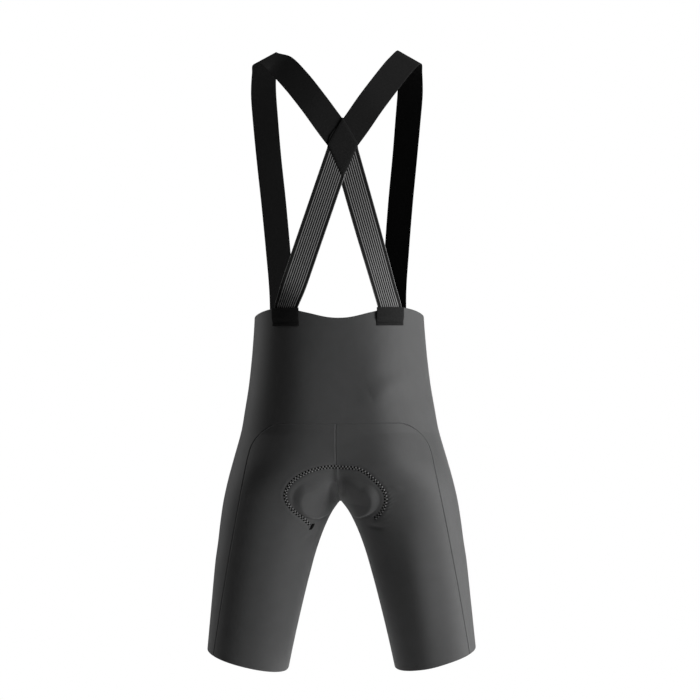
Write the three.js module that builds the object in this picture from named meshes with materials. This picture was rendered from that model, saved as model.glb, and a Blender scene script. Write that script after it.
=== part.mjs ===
// Cycling bib shorts, filled out as they are when worn, in millimetres.
// +X is the wearer's right, +Y the wearer's front and +Z up. The origin lies midway between
// the undersides of the two straps, where they pass over the tops of the shoulders.
import * as THREE from "three";

// Cloth, webbing and gaps
const CLOTH = 1.5;
const SEAM_GAP = 0.3;
const LAY_GAP = 0.6;
const LAYER_GAP = 0.5;
const STRAP_THICK = 1.2;
const STRAP_WIDTH = 42;
const ELASTIC_WIDTH = 37.4;
const PATCH_THICK = 1.0;
const STRAP_LAYER = STRAP_THICK + LAYER_GAP;

// Heights that divide the body
const YOKE_Z = -556;
const SPLIT_Z = -560;
const CROTCH_Z = -661.5;
const HEM_Z = -899;

// Body sections: reach of the outer side, back and front, and how square the section is
const SECTIONS = [
  { z: -365, outer: 126.5, back: -101, front: 104, square: 2.35 },
  { z: -393, outer: 127, back: -102, front: 104, square: 2.35 },
  { z: -438, outer: 130.2, back: -106, front: 103, square: 2.35 },
  { z: -468, outer: 133.2, back: -108.5, front: 102, square: 2.35 },
  { z: -495, outer: 136.5, back: -111, front: 101, square: 2.35 },
  { z: -528, outer: 142, back: -114, front: 100.5, square: 2.35 },
  { z: -558, outer: 147.3, back: -118, front: 100, square: 2.35 },
  { z: -603, outer: 159.8, back: -126, front: 98, square: 2.35 },
  { z: -633, outer: 168, back: -121, front: 94, square: 2.35 },
  { z: -663, outer: 174.8, back: -109, front: 88, square: 2.3 },
  { z: -693, outer: 179.6, back: -99, front: 84.5, square: 2.28 },
  { z: -723, outer: 183.5, back: -91, front: 82, square: 2.25 },
  { z: -753, outer: 188, back: -84, front: 80, square: 2.2 },
  { z: -813, outer: 194.3, back: -72, front: 79, square: 2.2 },
  { z: -888, outer: 202, back: -58, front: 78, square: 2.2 },
  { z: -918, outer: 205, back: -53, front: 78, square: 2.2 },
];

// Inner side of one leg's section; above the crotch it lies past the middle plane
const INNER_SIDE = [
  { z: -560, x: -147.8 },
  { z: -585, x: -108 },
  { z: -605, x: -70 },
  { z: -625, x: -39 },
  { z: -640, x: -20.5 },
  { z: -650, x: -10 },
  { z: -661.5, x: 0 },
  { z: -678, x: 12 },
  { z: -700, x: 23 },
  { z: -723, x: 32 },
  { z: -746, x: 39.4 },
  { z: -768, x: 45.4 },
  { z: -791, x: 51.5 },
  { z: -836, x: 62.5 },
  { z: -880, x: 72.5 },
  { z: -918, x: 80.5 },
];

// Waist edge, by the angle round the body: 90 is the middle of the front, -90 of the back
const WAIST_EDGE = [
  { angle: -108, z: -383 },
  { angle: -90, z: -391 },
  { angle: -72, z: -383 },
  { angle: -55, z: -375.5 },
  { angle: -40, z: -377.5 },
  { angle: -18, z: -384.5 },
  { angle: 0, z: -391 },
  { angle: 25, z: -406 },
  { angle: 50, z: -419 },
  { angle: 90, z: -445 },
  { angle: 130, z: -419 },
];

// Side seam of the seat panels: it leaves the yoke at a round corner and runs to the hem
const YOKE_CORNER = { start: 85, rise: 11.5 };
const SEAT_SEAM = [
  { z: -556, x: 112 },
  { z: -564, x: 120.5 },
  { z: -576, x: 128.5 },
  { z: -591, x: 133.5 },
  { z: -610, x: 137.5 },
  { z: -657, x: 147 },
  { z: -715, x: 158.6 },
  { z: -788, x: 172.5 },
  { z: -868, x: 186.5 },
  { z: -918, x: 195 },
];
const FRONT_SEAM_ANGLE = 35;

// The middle seam of the seat runs a little to the wearer's left, back to the middle at the crotch
const SEAM_DRIFT = [
  { z: -440, x: 0 },
  { z: -547, x: -5.8 },
  { z: -613, x: -5.6 },
  { z: -640, x: -4 },
  { z: -661.5, x: 0 },
];
const DRIFT_WIDTH = 125;

// Slope of the hems: lower at the inner side and at the back
const HEM_SLOPE = { x: 0.234, y: 0.087, atX: 141, atY: 11 };

// Grid of the panels: columns round one half of the body, rows from the waist to the hem
const COLUMNS = { front: 8, side: 5, seat: 13 };
const ROWS = { waist: 6, seat: 11, leg: 11 };
const CROTCH_EASE = 1.7;
const LEG_EASE = 1.5;

// Cushions of the seat pad, which press out through the seat on each side of the middle seam
const CUSHION = { middle: -5.5, x: 30.5, z: -656, halfWidth: 26, halfHeight: 29, rise: 6 };

// Outline of the seat pad: half width by the angle under the body, from back to front
const PAD_AXIS = { y: -10, z: -560 };
const PAD_OUTLINE = [
  { angle: 23.5, half: 27 },
  { angle: 26, half: 41 },
  { angle: 30.5, half: 53 },
  { angle: 35, half: 62.5 },
  { angle: 40, half: 70 },
  { angle: 45, half: 73 },
  { angle: 49.5, half: 70 },
  { angle: 55, half: 60 },
  { angle: 64, half: 43 },
  { angle: 76, half: 31 },
  { angle: 92, half: 27 },
  { angle: 108, half: 29 },
  { angle: 124, half: 35 },
  { angle: 138, half: 36 },
  { angle: 150, half: 26 },
];
const PAD = { edge: 1.6, middle: 9, gap: 1.9, columns: 12 };

// Front half of a strap, from the front panel up to the top of the shoulder
const STRAP_FRONT = [
  { x: 87, y: 90, z: -350, out: [0.5, 0.86, 0] },
  { x: 91.5, y: 96, z: -285, out: [0.46, 0.89, 0] },
  { x: 98, y: 101, z: -210, out: [0.43, 0.9, 0] },
  { x: 105, y: 99, z: -140, out: [0.43, 0.9, 0.05] },
  { x: 109.5, y: 85, z: -85, out: [0.42, 0.86, 0.3] },
  { x: 112, y: 60, z: -42, out: [0.43, 0.66, 0.6] },
  { x: 110, y: 30, z: -11, out: [0.46, 0.34, 0.82] },
];
const SHOULDER = { x: 107.6, y: 0, z: 0, out: [0.53, 0, 0.85] };

// Back half of a strap: share of the way across to the crossing, and which way it faces
const STRAP_BACK = {
  right: [
    { reach: 0.14, z: -13, out: [0.42, -0.3, 0.86] },
    { reach: 0.34, z: -38, out: [0.3, -0.62, 0.72] },
    { reach: 0.6, z: -75, out: [0.14, -0.84, 0.5] },
    { reach: 0.82, z: -110, out: [0.04, -0.92, 0.38] },
  ],
  left: [
    { reach: 0.16, z: -10, out: [0.5, -0.3, 0.81] },
    { reach: 0.36, z: -37, out: [0.34, -0.66, 0.67] },
    { reach: 0.6, z: -75, out: [0.13, -0.88, 0.45] },
    { reach: 0.82, z: -110, out: [0.02, -0.98, 0.2] },
  ],
};

// Depth of the straps and elastics behind the shoulders and the back
const BACK_DEPTH = [
  { z: 0, y: 0 },
  { z: -13, y: -19 },
  { z: -38, y: -43 },
  { z: -75, y: -70 },
  { z: -110, y: -87 },
  { z: -130, y: -93.5 },
  { z: -146, y: -96.5 },
  { z: -165, y: -97.5 },
  { z: -200, y: -97 },
  { z: -300, y: -93 },
  { z: -377, y: -88.5 },
];

// The crossing lies a little to the wearer's right of the middle, and the front halves of the
// straps lean a little to the left, by a share of their depth
const CROSSING = { x: 7.5, z: -136, lean: 3 };
const JOIN_Z = -151;
const TAB_X = { left: -77.2, right: 73.8 };
const TAB = { width: 39, top: -376, bottom: -402.5, seat: -397, end: -390 };
const PATCH = { top: 36, side: -4, halfWidth: 22.5, tip: -53 };
const FRONT_LEAN = -0.026;
const FRONT_TACK = { x: 86.5, top: -419.5, bottom: -444 };

// Heights between which the straps lie in one plane, and between which one runs over the other;
// each stretch fades in and out past its full part
const PLANE_STRETCH = { low: -230, fullLow: -190, fullHigh: -98, high: -60 };
const LAYER_STRETCH = { low: -260, fullLow: -200, fullHigh: -90, high: -40 };

// Above the tabs the elastics turn to face as the back does, and come to rest on it
const ELASTIC_TURN = { left: 50, right: 200 };
const ELASTIC_REST = { from: 26, to: 2 };

const COLOURS = {
  panel: 0x434346,
  strap: 0x1c1c1e,
  elastic: 0x3a3a3d,
  pad: 0x2a2a2d,
};
const ROUGHNESS = { panel: 0.72, strap: 0.85, elastic: 0.8, pad: 0.9 };

const degrees = THREE.MathUtils.degToRad;
const lerp = THREE.MathUtils.lerp;
const smooth = THREE.MathUtils.smoothstep;

// Value of a table's column at a place along it, on a smooth curve through its rows
function readTable(table, along, column, at) {
  const rising = table[table.length - 1][along] > table[0][along];
  const sign = rising ? 1 : -1;
  const place = (row) => table[row][along] * sign;
  const last = table.length - 1;
  const t = THREE.MathUtils.clamp(at * sign, place(0), place(last));
  let row = 0;
  while (row < last - 1 && t > place(row + 1)) row++;
  const slope = (k) => {
    const a = Math.max(k - 1, 0);
    const b = Math.min(k + 1, last);
    return (table[b][column] - table[a][column]) / (place(b) - place(a));
  };
  const span = place(row + 1) - place(row);
  const u = (t - place(row)) / span;
  const from = table[row][column];
  const to = table[row + 1][column];
  const ease = u * u * (3 - 2 * u);
  const bendIn = u * (1 - u) * (1 - u) * span * slope(row);
  const bendOut = u * u * (1 - u) * span * slope(row + 1);
  return from + (to - from) * ease + bendIn - bendOut;
}

// The oval of the body at a height: one round both sides above the split, one for each leg below
function sectionAt(z) {
  const outer = readTable(SECTIONS, "z", "outer", z);
  const back = readTable(SECTIONS, "z", "back", z);
  const front = readTable(SECTIONS, "z", "front", z);
  const inner = z > SPLIT_Z ? -outer : readTable(INNER_SIDE, "z", "x", z);
  return {
    cx: (outer + inner) / 2,
    rx: (outer - inner) / 2,
    cy: (front + back) / 2,
    ry: (front - back) / 2,
    n: readTable(SECTIONS, "z", "square", z),
  };
}

// Point of the right half at an angle in degrees round the oval
function ovalPoint(angle, z) {
  const s = sectionAt(z);
  const c = Math.cos(degrees(angle));
  const d = Math.sin(degrees(angle));
  const x = s.cx + s.rx * Math.sign(c) * Math.abs(c) ** (2 / s.n);
  const y = s.cy + s.ry * Math.sign(d) * Math.abs(d) ** (2 / s.n);
  return new THREE.Vector3(x, y, z);
}

// Angle at which the oval passes a distance x from the middle plane
function angleAtX(x, z) {
  const s = sectionAt(z);
  const share = THREE.MathUtils.clamp((x - s.cx) / s.rx, -1, 1);
  const c = Math.sign(share) * Math.abs(share) ** (s.n / 2);
  return THREE.MathUtils.radToDeg(Math.acos(c));
}

// Point and outward direction of the cloth at x and z, on the back or the front of the body
function panelSpot(x, z, facing) {
  const at = (u, v) => {
    const p = ovalPoint(facing * angleAtX(Math.abs(u), v), v);
    p.x = u;
    return p;
  };
  const step = 2;
  const across = at(x + step, z).sub(at(x - step, z));
  const down = at(x, z - step).sub(at(x, z + step));
  const n = new THREE.Vector3().crossVectors(across, down).multiplyScalar(facing).normalize();
  return { p: at(x, z), n };
}
const backSpot = (x, z) => panelSpot(x, z, -1);
const frontSpot = (x, z) => panelSpot(x, z, 1);

// The grid's place at row i and column j of the right half
const FRONT_END = COLUMNS.front;
const SIDE_END = COLUMNS.front + COLUMNS.side;
const LAST_COLUMN = COLUMNS.front + COLUMNS.side + COLUMNS.seat;
const YOKE_ROW = ROWS.waist;
const CROTCH_ROW = ROWS.waist + ROWS.seat;
const LAST_ROW = ROWS.waist + ROWS.seat + ROWS.leg;

// Height of the yoke seam at a distance x from the middle
function yokeSeamZ(x) {
  const run = readTable(SEAT_SEAM, "z", "x", YOKE_Z) - YOKE_CORNER.start;
  const past = THREE.MathUtils.clamp((x - YOKE_CORNER.start) / run, 0, 1);
  return YOKE_Z + YOKE_CORNER.rise * (1 - past * past);
}

function columnAngle(j, z) {
  const middle = angleAtX(Math.max(0, readTable(INNER_SIDE, "z", "x", z)), z);
  const seamHeight = Math.min(z, YOKE_Z);
  const seam = -angleAtX(readTable(SEAT_SEAM, "z", "x", seamHeight), seamHeight);
  if (j <= FRONT_END) return lerp(middle, FRONT_SEAM_ANGLE, j / COLUMNS.front);
  if (j <= SIDE_END) return lerp(FRONT_SEAM_ANGLE, seam, (j - FRONT_END) / COLUMNS.side);
  return lerp(seam, -middle, (j - SIDE_END) / COLUMNS.seat);
}

function gridPoint(i, j) {
  const yokeAngle = columnAngle(j, YOKE_Z);
  const yokeZ = j > SIDE_END ? yokeSeamZ(ovalPoint(yokeAngle, YOKE_Z).x) : YOKE_Z;
  if (i <= YOKE_ROW) {
    const top = readTable(WAIST_EDGE, "angle", "z", yokeAngle);
    const z = lerp(top, yokeZ, i / YOKE_ROW);
    return ovalPoint(columnAngle(j, z), z);
  }
  if (i <= CROTCH_ROW) {
    const t = (i - YOKE_ROW) / ROWS.seat;
    const level = lerp(YOKE_Z, CROTCH_Z, 1 - (1 - t) ** CROTCH_EASE);
    const z = level + (yokeZ - YOKE_Z) * (1 - smooth(t, 0, 0.5));
    return ovalPoint(columnAngle(j, z), z);
  }
  const t = (i - CROTCH_ROW) / ROWS.leg;
  const level = lerp(CROTCH_Z, HEM_Z, t ** LEG_EASE);
  const p = ovalPoint(columnAngle(j, level), level);
  const slope = HEM_SLOPE.x * (p.x - HEM_SLOPE.atX) + HEM_SLOPE.y * (p.y - HEM_SLOPE.atY);
  const z = level + t * t * slope;
  return ovalPoint(columnAngle(j, z), z);
}

// Name of a grid place; the halves share the middle line, and each leg closes at its inseam
function gridKey(side, i, j) {
  const edge = j === 0 || j === LAST_COLUMN;
  if (i === CROTCH_ROW && edge) return "crotch";
  if (i < CROTCH_ROW && edge) return "middle/" + i + "/" + j;
  return side + "/" + i + "/" + (i > CROTCH_ROW && j === LAST_COLUMN ? 0 : j);
}

// One cell of the grid, its corners counter-clockwise as seen from outside
function gridCell(side, i, j) {
  const here = gridKey(side, i, j);
  const across = gridKey(side, i, j + 1);
  const below = gridKey(side, i + 1, j);
  const opposite = gridKey(side, i + 1, j + 1);
  return side === "right" ? [here, across, opposite, below] : [here, below, opposite, across];
}

// Slides a place of the seat sideways with the drift of the middle seam
function drift(p) {
  if (p.z <= CROTCH_Z || p.y > PAD_AXIS.y) return p;
  const share = Math.max(0, 1 - (p.x / DRIFT_WIDTH) ** 2) ** 2;
  p.x += share * readTable(SEAM_DRIFT, "z", "x", p.z);
  return p;
}

// Every place of the garment's surface, with the outward direction that its cells share
function makeSurface() {
  const spots = new Map();
  for (const side of ["right", "left"]) {
    for (let i = 0; i <= LAST_ROW; i++) {
      for (let j = 0; j <= LAST_COLUMN; j++) {
        const p = gridPoint(i, j);
        if (side === "left") p.x = -p.x;
        const key = gridKey(side, i, j);
        if (key === "crotch" || key.startsWith("middle")) p.x = 0;
        spots.set(key, { p: drift(p), n: new THREE.Vector3() });
      }
    }
  }
  for (const side of ["right", "left"]) {
    for (let i = 0; i < LAST_ROW; i++) {
      for (let j = 0; j < LAST_COLUMN; j++) {
        const corners = gridCell(side, i, j).map((key) => spots.get(key));
        const a = corners[2].p.clone().sub(corners[0].p);
        const b = corners[3].p.clone().sub(corners[1].p);
        const face = a.cross(b);
        for (const corner of corners) corner.n.add(face);
      }
    }
  }
  for (const spot of spots.values()) spot.n.normalize();
  return spots;
}

// The corners of a cell, turned so that its first and third are the closer pair
function shortDiagonalFirst(cell, spotOf) {
  const [a, b, c, d] = cell.map((key) => spotOf(key).p);
  const turned = b.distanceTo(d) < a.distanceTo(c) - 1e-3;
  return turned ? [cell[1], cell[2], cell[3], cell[0]] : cell;
}

// Closed wall over a set of cells: its faces stand low and high off the places along their
// outward directions, and its border draws back by half a seam's gap
function wall(cells, spotOf, low, high) {
  const borders = new Map();
  for (const cell of cells) {
    cell.forEach((from, k) => {
      const to = cell[(k + 1) % 4];
      borders.set(from + ">" + to, [from, to]);
    });
  }
  for (const [name, [from, to]] of [...borders]) {
    if (borders.has(to + ">" + from)) {
      borders.delete(name);
      borders.delete(to + ">" + from);
    }
  }
  const inward = new Map();
  for (const [from, to] of borders.values()) {
    const along = spotOf(to).p.clone().sub(spotOf(from).p);
    for (const key of [from, to]) {
      const draw = new THREE.Vector3().crossVectors(spotOf(key).n, along).normalize();
      inward.set(key, [...(inward.get(key) ?? []), draw]);
    }
  }
  const index = new Map();
  const positions = [];
  const place = (key) => {
    if (!index.has(key)) {
      const { p, n } = spotOf(key);
      const base = p.clone();
      const draws = inward.get(key);
      if (draws) {
        const sum = draws.reduce((a, b) => a.clone().add(b));
        const share = sum.dot(draws[0]);
        base.addScaledVector(sum, SEAM_GAP / 2 / Math.max(share, 0.5));
      }
      index.set(key, positions.length / 3);
      positions.push(...base.clone().addScaledVector(n, high(key)).toArray());
      positions.push(...base.clone().addScaledVector(n, low(key)).toArray());
    }
    return index.get(key);
  };
  const faces = [];
  for (const cell of cells) {
    const [a, b, c, d] = shortDiagonalFirst(cell, spotOf).map(place);
    faces.push(a, b, c, a, c, d);
    faces.push(c + 1, b + 1, a + 1, d + 1, c + 1, a + 1);
  }
  for (const [from, to] of borders.values()) {
    const a = place(from);
    const b = place(to);
    faces.push(b, a, a + 1, b, a + 1, b + 1);
  }
  const geometry = new THREE.BufferGeometry();
  geometry.setAttribute("position", new THREE.Float32BufferAttribute(positions, 3));
  geometry.setIndex(faces);
  return geometry;
}

// Closed wall over a plain rectangle of places, rows down and columns across
function slab(rows, columns, spotAt, low, high) {
  const spots = new Map();
  const cells = [];
  for (let i = 0; i <= rows; i++) {
    for (let j = 0; j <= columns; j++) spots.set(i + "/" + j, spotAt(i, j));
  }
  for (let i = 0; i < rows; i++) {
    for (let j = 0; j < columns; j++) {
      cells.push([i + "/" + j, i + "/" + (j + 1), i + 1 + "/" + (j + 1), i + 1 + "/" + j]);
    }
  }
  const facing = (height) => (key) => height(...key.split("/").map(Number));
  return wall(cells, (key) => spots.get(key), facing(low), facing(high));
}

// How far the cushions of the pad press the seat out
function cushionRise(p) {
  if (p.y > PAD_AXIS.y) return 0;
  const u = (Math.abs(p.x - CUSHION.middle) - CUSHION.x) / CUSHION.halfWidth;
  const v = (p.z - CUSHION.z) / CUSHION.halfHeight;
  const d = u * u + v * v;
  return d < 1 ? CUSHION.rise * (1 - d * d) : 0;
}

const surface = makeSurface();
const spotOf = (key) => surface.get(key);

function panel(cells) {
  const raise = (key) => cushionRise(surface.get(key).p);
  return wall(cells, spotOf, () => -CLOTH, raise);
}

function cellsBetween(side, rowFrom, rowTo, columnFrom, columnTo) {
  const cells = [];
  for (let i = rowFrom; i < rowTo; i++) {
    for (let j = columnFrom; j < columnTo; j++) cells.push(gridCell(side, i, j));
  }
  return cells;
}

// Upper back, flanks and outer legs, in one cut
function bodyPanel() {
  const cells = ["right", "left"].flatMap((side) => [
    ...cellsBetween(side, 0, LAST_ROW, FRONT_END, SIDE_END),
    ...cellsBetween(side, 0, YOKE_ROW, SIDE_END, LAST_COLUMN),
  ]);
  return panel(cells);
}

function seatPanel(side) {
  return panel(cellsBetween(side, YOKE_ROW, LAST_ROW, SIDE_END, LAST_COLUMN));
}

function frontPanel(side) {
  return panel(cellsBetween(side, 0, LAST_ROW, 0, FRONT_END));
}

// Zero inside the body and the legs, more outside
function outsideBy(p) {
  const s = sectionAt(p.z);
  const u = Math.abs((Math.abs(p.x) - s.cx) / s.rx);
  const v = Math.abs((p.y - s.cy) / s.ry);
  return u ** s.n + v ** s.n - 1;
}

// Place on the inside of the crotch, found along a ray that turns about an axis across the body
function padSpot(angle, x) {
  const ray = new THREE.Vector3(0, -Math.cos(degrees(angle)), -Math.sin(degrees(angle)));
  const start = new THREE.Vector3(x, PAD_AXIS.y, PAD_AXIS.z);
  const at = (reach) => start.clone().addScaledVector(ray, reach);
  const stride = 4;
  let near = stride;
  while (outsideBy(at(near + stride)) < 0) near += stride;
  let far = near + stride;
  for (let k = 0; k < 24; k++) {
    const half = (near + far) / 2;
    if (outsideBy(at(half)) < 0) near = half;
    else far = half;
  }
  return at(near);
}

function seatPad() {
  const rows = PAD_OUTLINE.length - 1;
  const columns = PAD.columns;
  const spotAt = (i, j) => {
    const { angle, half } = PAD_OUTLINE[i];
    const x = half * (1 - (2 * j) / columns);
    const step = 2.5;
    const across = padSpot(angle, x - step).sub(padSpot(angle, x + step));
    const along = padSpot(angle + 1, x).sub(padSpot(angle - 1, x));
    return { p: drift(padSpot(angle, x)), n: across.cross(along).normalize() };
  };
  const outside = () => -CLOTH - PAD.gap;
  const inside = (i, j) => {
    const across = 1 - (1 - (2 * j) / columns) ** 2;
    const along = 1 - Math.abs(1 - (2 * i) / rows) ** 3;
    return outside() - PAD.edge - (PAD.middle - PAD.edge) * across * along;
  };
  return slab(rows, columns, spotAt, inside, outside);
}

// Plane that the straps share where they cross, and its outward direction
function backPlane(x, z) {
  const step = 3;
  const run = readTable(BACK_DEPTH, "z", "y", z + step) - readTable(BACK_DEPTH, "z", "y", z - step);
  const n = new THREE.Vector3(0, -2 * step, run).normalize();
  return { p: new THREE.Vector3(x, readTable(BACK_DEPTH, "z", "y", z), z), n };
}

// One inside a stretch of height, fading to zero past its ends
function shareWithin(z, stretch) {
  return smooth(z, stretch.low, stretch.fullLow) * (1 - smooth(z, stretch.fullHigh, stretch.high));
}

// The strap that starts on the right shoulder runs over the other one
function layerLift(z) {
  return STRAP_LAYER * shareWithin(z, LAYER_STRETCH);
}

// Band of webbing along a list of stations, each a place under the band's middle with its
// outward direction; where it is held, the places across it come from the surface it lies on.
// A station may be narrower than the rest of the band
function band(stations, width, thick) {
  const across = 4;
  const last = stations.length - 1;
  const frames = stations.map((station, k) => {
    const before = stations[Math.max(k - 1, 0)].p;
    const after = stations[Math.min(k + 1, last)].p;
    const along = after.clone().sub(before).normalize();
    const side = new THREE.Vector3().crossVectors(along, station.n).normalize();
    return { side, n: new THREE.Vector3().crossVectors(side, along).normalize() };
  });
  const spotAt = (k, c) => {
    const { p, on, hold, lift } = stations[k];
    const { side, n } = frames[k];
    const reach = (c / across - 0.5) * (stations[k].width ?? width);
    const flat = p.clone().addScaledVector(side, reach);
    let out = n.clone();
    if (hold > 0) {
      const lying = on(flat.x, flat.z);
      flat.lerp(lying.p, hold);
      out = n.clone().lerp(lying.n, hold).normalize();
    }
    return { p: flat.addScaledVector(out, lift), n: out };
  };
  return slab(last, across, spotAt, () => 0, () => thick);
}

const vector = (values) => new THREE.Vector3(...values);

// Places along a smooth line through a list of knots, as many between two knots as asked
function smoothLine(knots, between) {
  const places = new THREE.CatmullRomCurve3(knots.map((knot) => knot.p), false, "centripetal");
  const outs = new THREE.CatmullRomCurve3(knots.map((knot) => knot.n), false, "centripetal");
  const steps = (knots.length - 1) * between;
  return Array.from({ length: steps + 1 }, (_, k) => {
    const n = outs.getPoint(k / steps).normalize();
    return { p: places.getPoint(k / steps), n };
  });
}

// Plain strap: tacked to the front panel, over the shoulder and down to the crossing
function strap(hand) {
  const lift = hand > 0 ? layerLift : () => 0;
  const tack = [FRONT_TACK.bottom, (FRONT_TACK.top + FRONT_TACK.bottom) / 2, FRONT_TACK.top];
  const tackX = hand * FRONT_TACK.x + FRONT_LEAN * frontSpot(FRONT_TACK.x, FRONT_TACK.top).p.y;
  const stations = tack.map((z) => ({ ...frontSpot(tackX, z), on: frontSpot, hold: 1, lift: LAY_GAP }));
  const knots = [frontSpot(tackX, FRONT_TACK.top)];
  knots[0].p.addScaledVector(knots[0].n, LAY_GAP);
  for (const row of [...STRAP_FRONT, SHOULDER]) {
    const out = vector(row.out);
    const place = new THREE.Vector3(hand * row.x + FRONT_LEAN * row.y, row.y, row.z);
    knots.push({ p: place, n: out.setX(hand * out.x) });
  }
  for (const row of hand < 0 ? STRAP_BACK.left : STRAP_BACK.right) {
    const out = vector(row.out);
    const lean = CROSSING.lean * Math.sin(Math.PI * row.reach);
    const x = lerp(hand * SHOULDER.x, CROSSING.x, row.reach) + lean;
    knots.push({ p: backPlane(x, row.z).p, n: out.setX(hand * out.x) });
  }
  const bend = backPlane(CROSSING.x, CROSSING.z);
  knots.push(bend);
  for (const { p, n } of smoothLine(knots, 2).slice(1)) {
    const behind = p.y < 0 ? 1 : 0;
    const hold = behind * shareWithin(p.z, PLANE_STRETCH);
    stations.push({ p, n, on: backPlane, hold, lift: behind * lift(p.z) });
  }
  const tabX = hand > 0 ? TAB_X.left : TAB_X.right;
  const share = (JOIN_Z - CROSSING.z) / (TAB.top - CROSSING.z);
  const join = backPlane(lerp(CROSSING.x, tabX, share), JOIN_Z);
  stations.push({ ...join, on: backPlane, hold: 1, lift: lift(JOIN_Z), width: ELASTIC_WIDTH });
  return band(stations, STRAP_WIDTH, STRAP_THICK);
}

// Striped elastic: from the crossing down to the back's top edge, where its end is tacked on
function elastic(hand) {
  const tabX = hand < 0 ? TAB_X.left : TAB_X.right;
  const lift = hand < 0 ? layerLift : () => 0;
  const steps = 12;
  const landing = backSpot(tabX, TAB.top);
  const turn = hand < 0 ? ELASTIC_TURN.left : ELASTIC_TURN.right;
  const stations = [];
  for (let k = 0; k < steps; k++) {
    const z = lerp(JOIN_Z, TAB.top, k / steps);
    const spot = backPlane(lerp(CROSSING.x, tabX, (z - CROSSING.z) / (TAB.top - CROSSING.z)), z);
    spot.n.lerp(landing.n, 1 - smooth(z, TAB.top, TAB.top + turn)).normalize();
    const rest = 1 - smooth(z, TAB.top + ELASTIC_REST.to, TAB.top + ELASTIC_REST.from);
    const on = rest > 0 ? backSpot : backPlane;
    const hold = rest + shareWithin(z, PLANE_STRETCH);
    stations.push({ ...spot, on, hold, lift: lift(z) + LAY_GAP * rest });
  }
  for (const z of [TAB.top, (TAB.top + TAB.end) / 2, TAB.end]) {
    stations.push({ ...backSpot(tabX, z), on: backSpot, hold: 1, lift: LAY_GAP });
  }
  return band(stations, ELASTIC_WIDTH, STRAP_THICK);
}

// End tab: laid over the elastic's end, and down onto the panel below it
function tab(hand) {
  const tabX = hand < 0 ? TAB_X.left : TAB_X.right;
  const heights = [TAB.top, (TAB.top + TAB.end) / 2, TAB.end, TAB.seat, TAB.bottom];
  const columns = 5;
  const spotAt = (i, j) => backSpot(tabX + TAB.width * (0.5 - j / columns), heights[i]);
  const low = (i) => LAY_GAP + (heights[i] >= TAB.end ? STRAP_LAYER : 0);
  const high = (i) => low(i) + PATCH_THICK;
  return slab(heights.length - 1, columns, spotAt, low, high);
}

// Shield-shaped patch over the crossing
function crossPatch() {
  const steps = 5;
  const top = new THREE.Vector2(0, PATCH.top);
  const tip = new THREE.Vector2(0, PATCH.tip);
  const left = new THREE.Vector2(-PATCH.halfWidth, PATCH.side);
  const right = new THREE.Vector2(PATCH.halfWidth, PATCH.side);
  const spotAt = (i, j) => {
    const upper = top.clone().lerp(left, j / steps);
    const lower = right.clone().lerp(tip, j / steps);
    const flat = upper.lerp(lower, i / steps);
    return backPlane(CROSSING.x + flat.x, CROSSING.z + flat.y);
  };
  const low = () => 2 * STRAP_LAYER;
  return slab(steps, steps, spotAt, low, () => low() + PATCH_THICK);
}

function piece(name, kind, geometry) {
  const material = new THREE.MeshStandardMaterial({
    color: COLOURS[kind],
    roughness: ROUGHNESS[kind],
    metalness: 0,
  });
  const mesh = new THREE.Mesh(geometry, material);
  mesh.name = name;
  return mesh;
}

const bibShorts = new THREE.Group();
bibShorts.add(piece("body_panel", "panel", bodyPanel()));
for (const [side, hand] of [["left", -1], ["right", 1]]) {
  bibShorts.add(
    piece("seat_panel_" + side, "panel", seatPanel(side)),
    piece("front_panel_" + side, "panel", frontPanel(side)),
    piece("strap_" + side, "strap", strap(hand)),
    piece("elastic_" + side, "elastic", elastic(hand)),
    piece("tab_" + side, "strap", tab(hand)),
  );
}
bibShorts.add(piece("seat_pad", "pad", seatPad()));
bibShorts.add(piece("cross_patch", "strap", crossPatch()));

export default bibShorts;
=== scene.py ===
"""Cycling bib shorts, filled out as they are when worn: cloth, webbing, seat pad and stitching.

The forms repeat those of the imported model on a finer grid. Sizes are in millimetres unless
metres are named, and a mesh is brought to metres when it is made.
"""
import math

import bpy
import numpy as np
from mathutils import Matrix, Vector
from mathutils.bvhtree import BVHTree
from mathutils.kdtree import KDTree


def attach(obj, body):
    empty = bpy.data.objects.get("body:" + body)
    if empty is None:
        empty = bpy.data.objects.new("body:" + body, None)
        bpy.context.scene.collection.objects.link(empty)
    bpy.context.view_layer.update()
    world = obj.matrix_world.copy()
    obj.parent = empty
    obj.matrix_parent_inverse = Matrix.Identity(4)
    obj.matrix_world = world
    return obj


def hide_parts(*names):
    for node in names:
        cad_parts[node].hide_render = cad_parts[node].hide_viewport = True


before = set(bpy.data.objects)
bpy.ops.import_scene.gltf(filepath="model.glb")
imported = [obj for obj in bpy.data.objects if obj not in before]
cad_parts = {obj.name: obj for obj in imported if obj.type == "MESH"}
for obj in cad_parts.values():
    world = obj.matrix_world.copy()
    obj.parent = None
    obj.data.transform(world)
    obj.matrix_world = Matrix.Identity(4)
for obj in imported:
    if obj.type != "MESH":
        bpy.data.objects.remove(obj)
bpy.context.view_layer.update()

MM = 0.001


def table(names, *rows):
    """Columns of a table by their names."""
    return dict(zip(names.split(), np.array(rows, float).T))


# Camera: the photograph's place, focal length and slight roll
CAMERA_PLACE = (15.75, -3000, -438)
CAMERA_ROLL = -0.4
SENSOR = 36
FOCAL = SENSOR * 2000 / 700

# Soft boxes: size, the place they are aimed at and their distance from it, in metres
LIGHT_SIZE = (1.1, 1.8)
LIGHT_TARGET = (0, 0, -0.5)
LIGHT_AWAY = 2.6

# Cloth, webbing and gaps
CLOTH = 1.5
LAY_GAP = 0.6
LAYER_GAP = 0.5
STRAP_THICK = 1.2
STRAP_WIDTH = 42
ELASTIC_WIDTH = 37.4
PATCH_THICK = 1.0
STRAP_LAYER = STRAP_THICK + LAYER_GAP

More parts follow.
